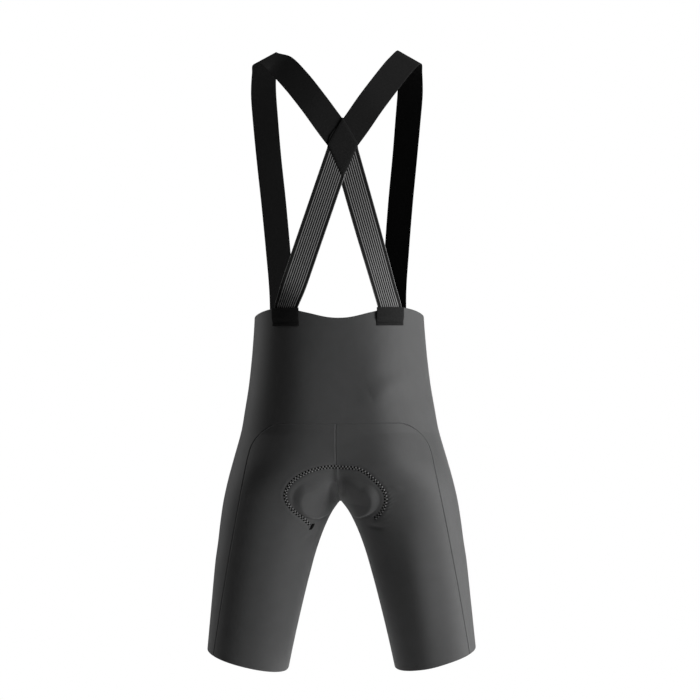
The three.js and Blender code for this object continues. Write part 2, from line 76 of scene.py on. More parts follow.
# Heights that divide the body
YOKE_Z = -556
SPLIT_Z = -560
CROTCH_Z = -661.5
HEM_Z = -899

# Body sections: reach of the outer side, back and front, and how square the section is
SECTIONS = table(
    "z outer back front square",
    (-365, 126.5, -101, 104, 2.35),
    (-393, 127, -102, 104, 2.35),
    (-438, 130.2, -106, 103, 2.35),
    (-468, 133.2, -108.5, 102, 2.35),
    (-495, 136.5, -111, 101, 2.35),
    (-528, 142, -114, 100.5, 2.35),
    (-558, 147.3, -118, 100, 2.35),
    (-603, 159.8, -126, 98, 2.35),
    (-633, 168, -121, 94, 2.35),
    (-663, 174.8, -109, 88, 2.3),
    (-693, 179.6, -99, 84.5, 2.28),
    (-723, 183.5, -91, 82, 2.25),
    (-753, 188, -84, 80, 2.2),
    (-813, 194.3, -72, 79, 2.2),
    (-888, 202, -58, 78, 2.2),
    (-918, 205, -53, 78, 2.2),
)

# Inner side of one leg's section; above the crotch it lies past the middle plane
INNER_SIDE = table(
    "z x",
    (-560, -147.8),
    (-585, -108),
    (-605, -70),
    (-625, -39),
    (-640, -20.5),
    (-650, -10),
    (-661.5, 0),
    (-678, 12),
    (-700, 23),
    (-723, 32),
    (-746, 39.4),
    (-768, 45.4),
    (-791, 51.5),
    (-836, 62.5),
    (-880, 72.5),
    (-918, 80.5),
)

# How far from the middle the cloth bridges the cleft between the two legs
CLEFT = table(
    "z bridge",
    (-560, 0),
    (-585, 10),
    (-615, 8),
    (-640, 3),
    (-654, 1),
    (-661.5, 0),
)

# Waist edge, by the angle round the body: 90 is the middle of the front, -90 of the back
WAIST_EDGE = table(
    "angle z",
    (-108, -383),
    (-90, -391),
    (-72, -383),
    (-55, -375.5),
    (-40, -377.5),
    (-18, -384.5),
    (0, -391),
    (25, -406),
    (50, -419),
    (90, -445),
    (130, -419),
)

# Side seam of the seat panels: it leaves the yoke at a round corner and runs to the hem
YOKE_CORNER_START = 85
YOKE_CORNER_RISE = 11.5
SEAT_SEAM = table(
    "z x",
    (-556, 112),
    (-564, 120.5),
    (-576, 128.5),
    (-591, 133.5),
    (-610, 137.5),
    (-657, 147),
    (-715, 158.6),
    (-788, 172.5),
    (-868, 186.5),
    (-918, 195),
)
FRONT_SEAM_ANGLE = 35

# The middle seam of the seat runs a little to the wearer's left
SEAM_DRIFT = table(
    "z x",
    (-440, 0),
    (-547, -5.8),
    (-613, -5.6),
    (-640, -4),
    (-661.5, 0),
)
DRIFT_WIDTH = 125

# Slope of the hems: lower at the inner side and at the back
HEM_SLOPE_X, HEM_AT_X = 0.234, 141
HEM_SLOPE_Y, HEM_AT_Y = 0.087, 11

# Blocks of the grid round one half of the body and from the waist to the hem, in cells of the
# plain model, with the size of such a cell in mm and how many finer cells it takes
FRONT, SIDE, SEAT = 8, 5, 13
WAIST_ROWS, SEAT_ROWS, LEG_ROWS = 6, 11, 11
FRONT_END, SIDE_END = FRONT, FRONT + SIDE
YOKE_ROW, CROTCH_ROW = WAIST_ROWS, WAIST_ROWS + SEAT_ROWS
COLUMN_BLOCKS = table("cells size fine", (FRONT, 16, 5), (SIDE, 24, 6), (SEAT, 11, 8))
ROW_BLOCKS = table("cells size fine", (WAIST_ROWS, 28, 9), (SEAT_ROWS, 16, 9), (LEG_ROWS, 32, 8))
CROTCH_EASE = 1.7
LEG_EASE = 1.5

# Distances from a seam at which the grid has lines of its own, and the seam's profile
SEAM_STEPS = np.array((0.45, 1.0, 1.7, 2.6, 4.0))
SEAM_GROOVE = 0.75
SEAM_GROOVE_WIDTH = 0.6
SEAM_FLATTER = 0.6
SEAM_RIDGE = 0.07
SEAM_RIDGE_AT = 2.0
SEAM_RIDGE_WIDTH = 1.0
EDGE_ROUND = 0.35

# Cushions of the seat pad, which press out through the seat on each side of the middle. By the
# angle from straight outward: reach from a cushion's middle, how far its edge takes to fall,
# and the depth and place of the crease beyond it
CUSHION_X, CUSHION_Z = 30.5, -656
CUSHION_MIDDLE = -5.5
CUSHION_EDGE = table(
    "angle reach fall crease at",
    (-180, 34, 12, 0, 3),
    (-135, 29, 5, 0.3, 3),
    (-115, 27.5, 2.6, 0.9, 2.2),
    (-90, 26.5, 2.4, 1.0, 2.2),
    (-66, 25, 2.6, 0.9, 2.4),
    (-45, 23.8, 5, 0.6, 5),
    (-20, 21.4, 10, 0.35, 11),
    (5, 20.7, 12, 0.3, 12),
    (30, 20, 12.5, 0.2, 12),
    (50, 18.6, 13, 0.1, 12),
    (70, 16.5, 13, 0, 12),
    (90, 19.5, 13, 0, 8),
    (110, 26, 12, 0, 3),
    (133, 33, 12, 0, 3),
    (180, 34, 12, 0, 3),
)
CUSHION_RISE = {-1: 4.2, 1: 6.0}
CUSHION_AT_MIDDLE = 0.6
CUSHION_HALF = CUSHION_X + 22
CREASE_WIDTH = 1.5

# Ridge along the middle seam, between the two cushions' tops
RIDGE_X, RIDGE_WIDTH, RIDGE_RISE, RIDGE_TOP, RIDGE_END = -5, 2.4, 0.9, -603, -634

# Line of zigzag stitches round the seat pad: places on the seat, from one end to the other
PAD_STITCHES = table(
    "x z",
    (-44.8, -693),
    (-53.5, -683),
    (-66, -672),
    (-75.5, -660),
    (-79.3, -648),
    (-76.5, -637.5),
    (-67, -625),
    (-50.5, -614.5),
    (-33.5, -608.8),
    (-15, -606),
    (5, -606.8),
    (23.5, -608.3),
    (36.5, -614),
    (48, -624),
    (59.5, -636),
    (65.8, -649),
    (64.5, -663),
    (58, -675.5),
    (49.5, -684),
)
STITCH_WIDTH = 4.4
STITCH_PITCH = 4.7

# Bar tack at the left end of the zigzag: its stitches from end to end
BAR_TACK = [((x, -691.5), (x - 4.6, -700)) for x in (-40.8, -39.9, -39, -38.1)]

# Soft folds on the seat and legs, seen from behind: a ridge rises and a trough falls
BACK_FOLDS = table(
    "x1 z1 x2 z2 width rise",
    (41, -696, 62, -698, 1.9, -1.6),
    (52, -690, 74, -682, 1.5, 0.9),
    (56, -693, 78, -689, 1.5, 0.6),
    (58, -676, 72, -670, 1.3, 0.5),
    (66, -660, 80, -655, 1.6, 0.35),
    (70, -632, 90, -640, 3.0, 0.5),
    (-46, -703, -58, -709, 2.2, 0.6),
    (-40, -708, -54, -716, 2.2, -0.6),
    (-30, -706, -44, -724, 2.4, 0.5),
    (-50, -686, -40, -692, 1.6, 0.7),
    (-11, -626, -15, -676, 6.5, -3.8),
    (3, -622, 5, -652, 4, -1.8),
    (102, -478, 42, -505, 14, 2.6),
    (56, -425, 56, -560, 27, 3.2),
    (-57, -425, -57, -560, 27, 1.8),
    (98, -670, 137, -950, 21, 4.6),
    (-42, -700, -84, -950, 28, 1.8),
)

# The same on the front, which the photograph doesn't show: soft drags from the crotch and hips
FRONT_FOLDS = table(
    "x1 z1 x2 z2 width rise",
    (9, -640, 58, -606, 5, -1.1),
    (12, -652, 70, -632, 5.5, 0.8),
    (-8, -642, -52, -604, 5, -1.0),
    (-14, -650, -74, -636, 6, 0.7),
    (30, -676, 84, -664, 6, -0.8),
    (-28, -674, -80, -668, 5, -0.7),
    (60, -530, 112, -500, 12, -1.0),
    (-54, -538, -108, -512, 13, -0.9),
    (88, -700, 128, -850, 20, 1.2),
    (-84, -700, -124, -860, 22, 1.2),
)

# Broad swells of the seat, on each side of its middle
BULGES = table(
    "x z half_width half_height rise",
    (72, -578, 36, 44, 5.4),
    (-66, -582, 40, 46, 1.8),
)


def read(rows, column, at, along="z"):
    """Value of a table's column at places along it, on a smooth curve through its rows."""
    sign = 1 if rows[along][-1] > rows[along][0] else -1
    place, value = rows[along] * sign, rows[column]
    slope = np.empty_like(value)
    slope[1:-1] = (value[2:] - value[:-2]) / (place[2:] - place[:-2])
    slope[0] = (value[1] - value[0]) / (place[1] - place[0])
    slope[-1] = (value[-1] - value[-2]) / (place[-1] - place[-2])
    t = np.clip(np.asarray(at, float) * sign, place[0], place[-1])
    k = np.clip(np.searchsorted(place, t) - 1, 0, len(place) - 2)
    span = place[k + 1] - place[k]
    u = (t - place[k]) / span
    bends = u * (1 - u) * span * ((1 - u) * slope[k] - u * slope[k + 1])
    return value[k] + (value[k + 1] - value[k]) * u * u * (3 - 2 * u) + bends


def smooth(x, low, high):
    t = np.clip((np.asarray(x, float) - low) / (high - low), 0, 1)
    return t * t * (3 - 2 * t)


def lerp(a, b, t):
    return a + (b - a) * t


def hump(away, width):
    """One at no distance, and falling off on both sides over about a width."""
    return np.exp(-((away / width) ** 2))


def unit(v):
    return v / np.maximum(np.linalg.norm(v, axis=-1, keepdims=True), 1e-9)


def section(z):
    """The oval of the body at a height: one above the split, one for each leg below."""
    outer = read(SECTIONS, "outer", z)
    back = read(SECTIONS, "back", z)
    front = read(SECTIONS, "front", z)
    inner = np.where(np.asarray(z) > SPLIT_Z, -outer, read(INNER_SIDE, "x", z))
    square = read(SECTIONS, "square", z)
    return (outer + inner) / 2, (outer - inner) / 2, (front + back) / 2, (front - back) / 2, square


def oval_point(angle, z):
    """Point of the right half at an angle in degrees round the oval."""
    cx, rx, cy, ry, n = section(z)
    c, s = np.cos(np.radians(angle)), np.sin(np.radians(angle))
    x = cx + rx * np.sign(c) * np.abs(c) ** (2 / n)
    y = cy + ry * np.sign(s) * np.abs(s) ** (2 / n)
    return np.stack([x, y, z + 0 * x], -1)


def angle_at_x(x, z):
    """Angle at which the oval passes a distance x from the middle plane."""
    cx, rx, _, _, n = section(z)
    share = np.clip((x - cx) / rx, -1, 1)
    return np.degrees(np.arccos(np.sign(share) * np.abs(share) ** (n / 2)))


def column_angle(j, z):
    middle = angle_at_x(np.maximum(0, read(INNER_SIDE, "x", z)), z)
    low = np.minimum(z, YOKE_Z)
    seam = -angle_at_x(read(SEAT_SEAM, "x", low), low)
    front = lerp(middle, FRONT_SEAM_ANGLE, j / FRONT)
    side = lerp(FRONT_SEAM_ANGLE, seam, (j - FRONT_END) / SIDE)
    seat = lerp(seam, -middle, (j - SIDE_END) / SEAT)
    return np.where(j <= FRONT_END, front, np.where(j <= SIDE_END, side, seat))


def grid_point(i, j):
    """Place of the right half at row i and column j of the plain model's grid."""
    yoke_angle = column_angle(j, YOKE_Z)
    run = read(SEAT_SEAM, "x", YOKE_Z) - YOKE_CORNER_START
    past = np.clip((oval_point(yoke_angle, YOKE_Z)[..., 0] - YOKE_CORNER_START) / run, 0, 1)
    yoke_z = np.where(j > SIDE_END, YOKE_Z + YOKE_CORNER_RISE * (1 - past * past), YOKE_Z)
    top = read(WAIST_EDGE, "z", yoke_angle, along="angle")
    waist = lerp(top, yoke_z, i / WAIST_ROWS)
    t = np.clip((i - YOKE_ROW) / SEAT_ROWS, 0, 1)
    seat = lerp(YOKE_Z, CROTCH_Z, 1 - (1 - t) ** CROTCH_EASE)
    seat = seat + (yoke_z - YOKE_Z) * (1 - smooth(t, 0, 0.5))
    t = np.clip((i - CROTCH_ROW) / LEG_ROWS, 0, 1)
    leg = lerp(CROTCH_Z, HEM_Z, t**LEG_EASE)
    p = oval_point(column_angle(j, leg), leg)
    slope = HEM_SLOPE_X * (p[..., 0] - HEM_AT_X) + HEM_SLOPE_Y * (p[..., 1] - HEM_AT_Y)
    leg = leg + t * t * slope
    z = np.where(i <= YOKE_ROW, waist, np.where(i <= CROTCH_ROW, seat, leg))
    return bridge_cleft(oval_point(column_angle(j, z), z))


def bridge_cleft(p):
    """The stretched cloth bridges the cleft where the two legs meet."""
    x, y, z = p[..., 0], p[..., 1], p[..., 2]
    bridge = read(CLEFT, "bridge", z) * (z < SPLIT_Z) * (z > CROTCH_Z)
    spread = oval_point(angle_at_x(np.sqrt(x * x + bridge * bridge), z) * np.sign(y), z)[..., 1]
    share = 1 - smooth(np.abs(x) / np.maximum(bridge, 1), 1.5, 5)
    y = np.where(bridge > 0, lerp(y, spread, share), y)
    return np.stack([x, y, z], -1)


def drift(p):
    """Slides places of the seat sideways with the drift of the middle seam."""
    share = np.clip(1 - (p[..., 0] / DRIFT_WIDTH) ** 2, 0, 1) ** 2
    moved = (p[..., 2] > CROTCH_Z) & (p[..., 1] <= -10)
    p[..., 0] += np.where(moved, share * read(SEAM_DRIFT, "x", p[..., 2]), 0)
    return p


def places_along(blocks):
    """Places of the finer grid's lines, with closer ones on both sides of each seam."""
    found, start = [], 0.0
    for cells, size, fine in zip(blocks["cells"], blocks["size"], blocks["fine"]):
        close = SEAM_STEPS / size
        whole = np.arange(1, cells * fine) / fine
        whole = whole[(whole > close[-1] * 1.2) & (whole < cells - close[-1] * 1.2)]
        found += [start, *(start + close), *(start + whole), *(start + cells - close[::-1])]
        start += cells
    return np.array(found + [start])


ROWS = places_along(ROW_BLOCKS)
COLUMNS = places_along(COLUMN_BLOCKS)
NI, NJ = len(ROWS), len(COLUMNS)
YOKE_LINE = int(np.searchsorted(ROWS, YOKE_ROW))
CROTCH_LINE = int(np.argmin(np.abs(ROWS - CROTCH_ROW)))
FRONT_LINE = int(np.searchsorted(COLUMNS, FRONT_END))
SIDE_LINE = int(np.searchsorted(COLUMNS, SIDE_END))


def cells_of(own):
    """Cells between the points of a grid, each with its four corners."""
    corners = [own[:-1, :-1], own[:-1, 1:], own[1:, 1:], own[1:, :-1]]
    return np.stack([corner.ravel() for corner in corners], -1)


class Surface:
    """The garment's outer surface: places, outward directions and cloth coordinates."""

    def __init__(self):
        i, j = np.meshgrid(ROWS, COLUMNS, indexing="ij")
        right = grid_point(i, j)
        edges = np.zeros((NI, NJ), bool)
        edges[: CROTCH_LINE + 1, [0, -1]] = True
        right[edges, 0] = 0
        left = right * (-1, 1, 1)
        self.p = drift(np.concatenate([right.reshape(-1, 3), left.reshape(-1, 3)]))
        own = np.arange(2 * NI * NJ).reshape(2, NI, NJ)
        same = own.copy()
        same[1, : CROTCH_LINE + 1, [0, -1]] = own[0, : CROTCH_LINE + 1, [0, -1]]
        same[:, CROTCH_LINE, [0, -1]] = own[0, CROTCH_LINE, 0]
        same[:, CROTCH_LINE + 1 :, -1] = own[:, CROTCH_LINE + 1 :, 0]
        self.own, self.same = own, same.ravel()
        cells = np.concatenate([self.cells(hand, 0, NI - 1, 0, NJ - 1) for hand in (1, -1)])
        shared = self.same[cells]
        a, b, c, d = (self.p[shared[:, k]] for k in range(4))
        face = np.cross(c - a, d - b)
        self.n = np.zeros_like(self.p)
        for k in range(4):
            np.add.at(self.n, shared[:, k], face)
        self.n = unit(self.n)[self.same]
        self.p = self.p[self.same]
        self.uv = self.cloth_coordinates(right)

    def cells(self, hand, row_from, row_to, column_from, column_to):
        """Cells of one half, their corners counter-clockwise as seen from outside."""
        own = self.own[0 if hand > 0 else 1]
        found = cells_of(own[row_from : row_to + 1, column_from : column_to + 1])
        return found if hand > 0 else found[:, [0, 3, 2, 1]]

    def cloth_coordinates(self, right):
        """Distances along the cloth: round the body and down it."""
        across = np.linalg.norm(np.diff(right, axis=1), axis=-1).mean(0)
        down = np.linalg.norm(np.diff(right, axis=0), axis=-1).mean(1)
        u = np.concatenate([[0], np.cumsum(across)])
        v = -np.concatenate([[0], np.cumsum(down)])
        v, u = np.meshgrid(v, u, indexing="ij")
        halves = [np.stack([u, v], -1), np.stack([2 * u.max() - u, v], -1)]
        return np.concatenate([half.reshape(-1, 2) for half in halves])


def make_object(name, points, faces, uv=None, material=None):
    """Mesh object from points in mm; uv is given per face corner."""
    mesh = bpy.data.meshes.new(name)
    faces = faces.tolist() if isinstance(faces, np.ndarray) else faces
    mesh.from_pydata((np.asarray(points) * MM).tolist(), [], faces)
    if uv is not None:
        layer = mesh.uv_layers.new(name="cloth")
        layer.data.foreach_set("uv", (np.asarray(uv) * MM).ravel().astype(np.float32))
    mesh.polygons.foreach_set("use_smooth", [True] * len(mesh.polygons))
    mesh.update()
    made = bpy.data.objects.new(name, mesh)
    bpy.context.scene.collection.objects.link(made)
    if material:
        mesh.materials.append(material)
    return made


def border_of(cells):
    """Edges that only one cell has, in that cell's direction."""
    edges = {(a, b) for cell in cells.tolist() for a, b in zip(cell, cell[1:] + cell[:1])}
    return np.array([(a, b) for a, b in edges if (b, a) not in edges])


def closed_wall(name, cells, points, outward, low, high, uv, material):
    """Closed thin wall: its faces stand low and high off the points, joined round the border."""
    used, index = np.unique(cells, return_inverse=True)
    index = index.reshape(cells.shape)
    count = len(used)
    outer = points[used] + outward[used] * high[used, None]
    inner = points[used] + outward[used] * low[used, None]
    rim = np.searchsorted(used, border_of(cells))
    rim_faces = np.stack([rim[:, 1], rim[:, 0], rim[:, 0] + count, rim[:, 1] + count], -1)
    faces = np.concatenate([index, index[:, ::-1] + count, rim_faces])
    place = np.concatenate([points[used], points[used]])
    rim_uv = place[rim_faces][..., [0, 2]]
    corner_uv = np.concatenate([uv, uv[:, ::-1], rim_uv])
    return make_object(name, np.concatenate([outer, inner]), faces, corner_uv, material)


def nearest(points, marks):
    """Which mark is nearest to each point, and how far it is."""
    tree = KDTree(len(marks))
    for k, mark in enumerate(marks):
        tree.insert(mark, k)
    tree.balance()
    found = [tree.find(point)[1:] for point in points]
    return np.array([k for k, _ in found]), np.array([away for _, away in found])


def along_line(rows, spacing):
    """Evenly spaced places along a smooth line through a table's rows."""
    length = np.concatenate([[0], np.cumsum(np.hypot(np.diff(rows["x"]), np.diff(rows["z"])))])
    line = {"at": length, "x": rows["x"], "z": rows["z"]}
    at = np.arange(0, length[-1], spacing)
    return np.stack([read(line, "x", at, "at"), read(line, "z", at, "at")], -1)


def cushion_relief(p):
    """How far the cushions of the pad press the seat out: most along their outer edges."""
    from_middle = np.abs(p[:, 0] - CUSHION_MIDDLE)
    x = from_middle - CUSHION_X
    z = p[:, 2] - CUSHION_Z
    angle = np.degrees(np.arctan2(z, x))
    past = np.hypot(x, z) - read(CUSHION_EDGE, "reach", angle, "angle")
    fall = read(CUSHION_EDGE, "fall", angle, "angle")
    crease = read(CUSHION_EDGE, "crease", angle, "angle")
    crease_at = read(CUSHION_EDGE, "at", angle, "angle")
    run = np.clip(past / fall, 0, 1)
    share = 1 - lerp(run, run * run * (3 - 2 * run), 0.4)
    rise = np.where(p[:, 0] > CUSHION_MIDDLE, CUSHION_RISE[1], CUSHION_RISE[-1])
    face = lerp(CUSHION_AT_MIDDLE, rise, np.clip(from_middle / CUSHION_HALF, 0, 1))
    line = crease * hump(past - crease_at, CREASE_WIDTH)
    ridge = RIDGE_RISE * hump(p[:, 0] - RIDGE_X, RIDGE_WIDTH)
    ridge *= smooth(p[:, 2], RIDGE_END, RIDGE_END + 8)
    ridge *= 1 - smooth(p[:, 2], RIDGE_TOP - 4, RIDGE_TOP)
    return np.where(p[:, 1] < -20, face * share - line + ridge, 0)


def fold_relief(p, folds):
    """Soft ridges and troughs along the folds of a table."""
    total = np.zeros(len(p))
    for x1, z1, x2, z2, width, rise in zip(*folds.values()):
        along = np.array((x2 - x1, z2 - z1))
        from_start = p[:, [0, 2]] - (x1, z1)
        t = np.clip(from_start @ along / (along @ along), 0, 1)
        away = np.linalg.norm(from_start - t[:, None] * along, axis=1)
        total += rise * np.sin(np.pi * np.clip(t, 0.04, 0.96)) ** 0.6 * hump(away, width)
    return total


def stitch_relief(p):
    """The zigzag stitches draw the cloth in; it swells beside them and puckers outside them."""
    line = along_line(PAD_STITCHES, 1.0)
    near = (p[:, 1] < 0) & (np.abs(p[:, 0]) < 98) & (p[:, 2] > -708) & (p[:, 2] < -592)
    at, away = nearest(p[near] * (1, 0, 1), [(x, 0, z) for x, z in line])
    ahead = unit(np.gradient(line, axis=0))[at]
    outward = np.stack([-ahead[:, 1], ahead[:, 0]], -1)
    out = ((p[near][:, [0, 2]] - line[at]) * outward).sum(1)
    strength = lerp(0.14, 0.55, smooth(at / len(line), 0.6, 0.75))
    strength *= 1 - smooth(at / len(line), 0.93, 1)
    pucker = np.cos(2 * np.pi * (at + 0.7 * out) / STITCH_PITCH)
    pucker *= smooth(out, 1.5, 3.5) * (1 - smooth(out, 6, 11)) * strength
    total = np.zeros(len(p))
    total[near] = 0.3 * hump(away - 6, 2.6) + pucker - 0.7 * hump(away, 2.4)
    return total


def bulge_relief(p):
    """Broad swells of the seat under the cloth."""
    total = np.zeros(len(p))
    for x, z, half_width, half_height, rise in zip(*BULGES.values()):
        total += rise * hump(p[:, 0] - x, half_width) * hump(p[:, 2] - z, half_height)
    return total


def relief(p, n):
    """How far the cloth moves in or out; on the back this fades where the cloth turns away."""
    back = p[:, 1] < 0
    behind = fold_relief(p, BACK_FOLDS) + bulge_relief(p)
    total = cushion_relief(p) + stitch_relief(p)
    total += np.where(back, behind, fold_relief(p, FRONT_FOLDS))
    return np.where(back, total * smooth(-n[:, 1], 0.05, 0.5), total)


surface = Surface()
surface_relief = relief(surface.p, surface.n)


def panel(name, cells, material):
    """One cut piece of the knit: a thin wall with grooved seams and rounded free edges."""
    shared = surface.same[cells]
    border = np.unique(border_of(shared))
    rows = np.unravel_index(border, (2, NI, NJ))[1]
    free = (rows == 0) | (rows == NI - 1)
    used = np.unique(shared)
    away = nearest(surface.p[used], surface.p[border[~free]])[1]
    high = surface_relief.copy()
    low = surface_relief - CLOTH
    ridge = SEAM_RIDGE * hump(away - SEAM_RIDGE_AT, SEAM_RIDGE_WIDTH)
    x, y, z = surface.p[used].T
    middle = smooth(95 - np.abs(x), 0, 30) * (y < 0) * smooth(z, -650, -615)
    groove = SEAM_GROOVE * (1 - SEAM_FLATTER * middle)
    high[used] += ridge - groove * hump(away, SEAM_GROOVE_WIDTH)
    high[border[free]] -= EDGE_ROUND
    low[border[free]] += EDGE_ROUND
    uv = surface.uv[cells]
    return closed_wall(name, shared, surface.p, surface.n, low, high, uv, material)


# Materials

# Spacing of loops, ribs and yarns, in metres
WALE, COURSE = 0.0011, 0.0009
WEBBING_RIB, WEBBING_YARN = 0.0016, 0.0012
ELASTIC_RIB = 0.0011


class Nodes:
    """Short way to add and join the nodes of a material."""

    def __init__(self, name):
        self.material = bpy.data.materials.new(name)
        self.material.use_nodes = True
        self.tree = self.material.node_tree
        self.shader = self.tree.nodes["Principled BSDF"]

    def add(self, kind, inputs=(), **settings):
        node = self.tree.nodes.new("ShaderNode" + kind)
        for key, value in settings.items():
            setattr(node, key, value)
        for key, value in dict(inputs).items():
            if isinstance(value, bpy.types.NodeSocket):
                self.tree.links.new(value, node.inputs[key])
            else:
                node.inputs[key].default_value = value
        return node

    def math(self, operation, *values):
        return self.add("Math", dict(enumerate(values)), operation=operation).outputs[0]

    def cloth(self):
        """Distances across and along the cloth."""
        uv = self.add("UVMap", uv_map="cloth").outputs[0]
        parts = self.add("SeparateXYZ", {0: uv})
        return uv, parts.outputs[0], parts.outputs[1]

    def wave(self, distance, pitch, kind="SINE"):
        return self.math(kind, self.math("MULTIPLY", distance, 2 * math.pi / pitch))

    def noise(self, place, scale, detail=2.0):
        inputs = {"Vector": place, "Scale": scale, "Detail": detail}
        return self.add("TexNoise", inputs).outputs[0]

    def greys(self, factor, dark, light, start=0.0, end=1.0, warmth=0.0):
        """Sets a colour that runs from a dark to a light grey as the factor grows."""
        node = self.add("ValToRGB", {0: factor})
        for stop, place, level in zip(node.color_ramp.elements, (start, end), (dark, light)):
            stop.position = place
            stop.color = (level * (1 + warmth), level, level * (1 - warmth), 1)
        self.set(Base_Color=node.outputs[0])

    def bump(self, height, strength, distance):
        inputs = {"Height": height, "Strength": strength, "Distance": distance}
        self.set(Normal=self.add("Bump", inputs).outputs[0])

    def set(self, **values):
        for key, value in values.items():
            socket = self.shader.inputs[key.replace("_", " ")]
            if isinstance(value, bpy.types.NodeSocket):
                self.tree.links.new(value, socket)
            else:
                socket.default_value = value


def knit_material(name, level):
    """Matt stretch knit: fine wales and courses with a faint mottle."""
    nodes = Nodes(name)
    uv, across, down = nodes.cloth()
    loops = nodes.math("MULTIPLY", nodes.wave(across, WALE), nodes.wave(down, COURSE))
    mottle = nodes.noise(uv, 55.0, 3.0)
    fine = nodes.noise(uv, 700.0)
    mottle, specks = nodes.math("MULTIPLY", mottle, 0.16), nodes.math("MULTIPLY", fine, 0.14)
    tone = nodes.math("ADD", mottle, specks)
    blend = nodes.math("ADD", tone, nodes.math("MULTIPLY", loops, 0.05))
    nodes.greys(blend, level * 0.86, level * 1.12, 0.05, 0.25, warmth=-0.01)
    nodes.bump(nodes.math("ADD", nodes.math("MULTIPLY", loops, 0.5), fine), 0.25, 0.00012)
    nodes.set(Roughness=0.66, Specular_IOR_Level=0.35, Sheen_Weight=0.25, Sheen_Roughness=0.45)
    return nodes.material


def webbing_material(name, level, sheen):
    """Plain woven webbing: fine ribs across its width."""
    nodes = Nodes(name)
    uv, across, down = nodes.cloth()
    yarn = nodes.math("MULTIPLY", nodes.wave(across, WEBBING_YARN), 0.5)
    weave = nodes.math("ADD", nodes.wave(down, WEBBING_RIB), yarn)
    blend = nodes.math("ADD", nodes.math("MULTIPLY", weave, 0.1), nodes.noise(uv, 400.0, 3.0))
    nodes.greys(blend, level * 0.75, level * 1.3, 0.3, 0.75)
    nodes.bump(weave, 0.4, 0.0002)
    nodes.set(Roughness=0.85, Specular_IOR_Level=0.1, Sheen_Weight=sheen, Sheen_Roughness=0.5)
    return nodes.material


def striped_material(name, level, stripe_level):
    """Elastic with fine pale lines along its middle and one on each edge."""
    nodes = Nodes(name)
    _, across, down = nodes.cloth()
    middle = nodes.math("SUBTRACT", across, ELASTIC_WIDTH / 2 * MM)
    from_middle = nodes.math("ABSOLUTE", middle)
    phase = nodes.math("SUBTRACT", across, STRIPES_FROM * MM)
    wave = nodes.wave(phase, STRIPE_PITCH * MM, "COSINE")
    bare = math.cos(math.pi * STRIPE_WIDTH / STRIPE_PITCH)
    line = nodes.add("MapRange", {0: wave, 1: bare - 0.3, 2: bare + 0.3}).outputs[0]
    striped = nodes.math("LESS_THAN", from_middle, STRIPE_PITCH * STRIPES / 2 * MM)
    edge_from = (ELASTIC_WIDTH / 2 - EDGE_LINE_WIDTH) * MM
    edge = nodes.math("MULTIPLY", nodes.math("GREATER_THAN", from_middle, edge_from), 0.8)
    pale = nodes.math("ADD", nodes.math("MULTIPLY", line, striped), edge)
    nodes.greys(pale, level, stripe_level)
    rib = nodes.math("MULTIPLY", nodes.wave(down, ELASTIC_RIB), 0.2)
    nodes.bump(nodes.math("ADD", rib, pale), 0.25, 0.0001)
    nodes.set(Roughness=0.9, Specular_IOR_Level=0.08)
    return nodes.material


def thread_material(name, level, gloss):
    """Sewing thread, a little uneven in tone."""
    nodes = Nodes(name)
    noise = nodes.noise(nodes.add("TexCoord").outputs["Object"], 1500.0)
    nodes.greys(noise, level * 0.7, level * 1.3)
    nodes.bump(noise, 0.5, 0.0001)
    nodes.set(Roughness=0.6, Specular_IOR_Level=gloss)
    return nodes.material


def pad_material(name, level):
    """Brushed cover cloth of the seat pad."""
    nodes = Nodes(name)
    place = nodes.add("TexCoord").outputs["Object"]
    cells = nodes.add("TexVoronoi", {"Vector": place, "Scale": 450.0}).outputs["Distance"]
    nodes.greys(nodes.noise(place, 90.0, 4.0), level * 0.8, level * 1.2, 0.3, 0.7)
    nodes.bump(cells, 0.35, 0.0003)
    nodes.set(Roughness=0.9, Specular_IOR_Level=0.2, Sheen_Weight=0.4, Sheen_Roughness=0.6)
    return nodes.material


# Straps, elastics, tabs and patch

# Front half of a strap, from the front panel up to the top of the shoulder
STRAP_FRONT = table(
    "x y z out_x out_y out_z",
    (87, 90, -350, 0.5, 0.86, 0),
    (91.5, 96, -285, 0.46, 0.89, 0),
    (98, 101, -210, 0.43, 0.9, 0),
    (105, 99, -140, 0.43, 0.9, 0.05),
    (109.5, 85, -85, 0.42, 0.86, 0.3),
    (112, 60, -42, 0.43, 0.66, 0.6),
    (110, 30, -11, 0.46, 0.34, 0.82),
    (107.6, 0, 0, 0.53, 0, 0.85),
)
SHOULDER_X = 107.6

# Back half of a strap: share of the way across to the crossing, and which way it faces
STRAP_BACK = {
    1: table(
        "reach z out_x out_y out_z",
        (0.14, -13, 0.42, -0.3, 0.86),
        (0.34, -38, 0.3, -0.62, 0.72),
        (0.6, -75, 0.14, -0.84, 0.5),
        (0.82, -110, 0.04, -0.92, 0.38),
    ),
    -1: table(
        "reach z out_x out_y out_z",
        (0.16, -10, 0.5, -0.3, 0.81),
        (0.36, -37, 0.34, -0.66, 0.67),
        (0.6, -75, 0.13, -0.88, 0.45),
        (0.82, -110, 0.02, -0.98, 0.2),
    ),
}

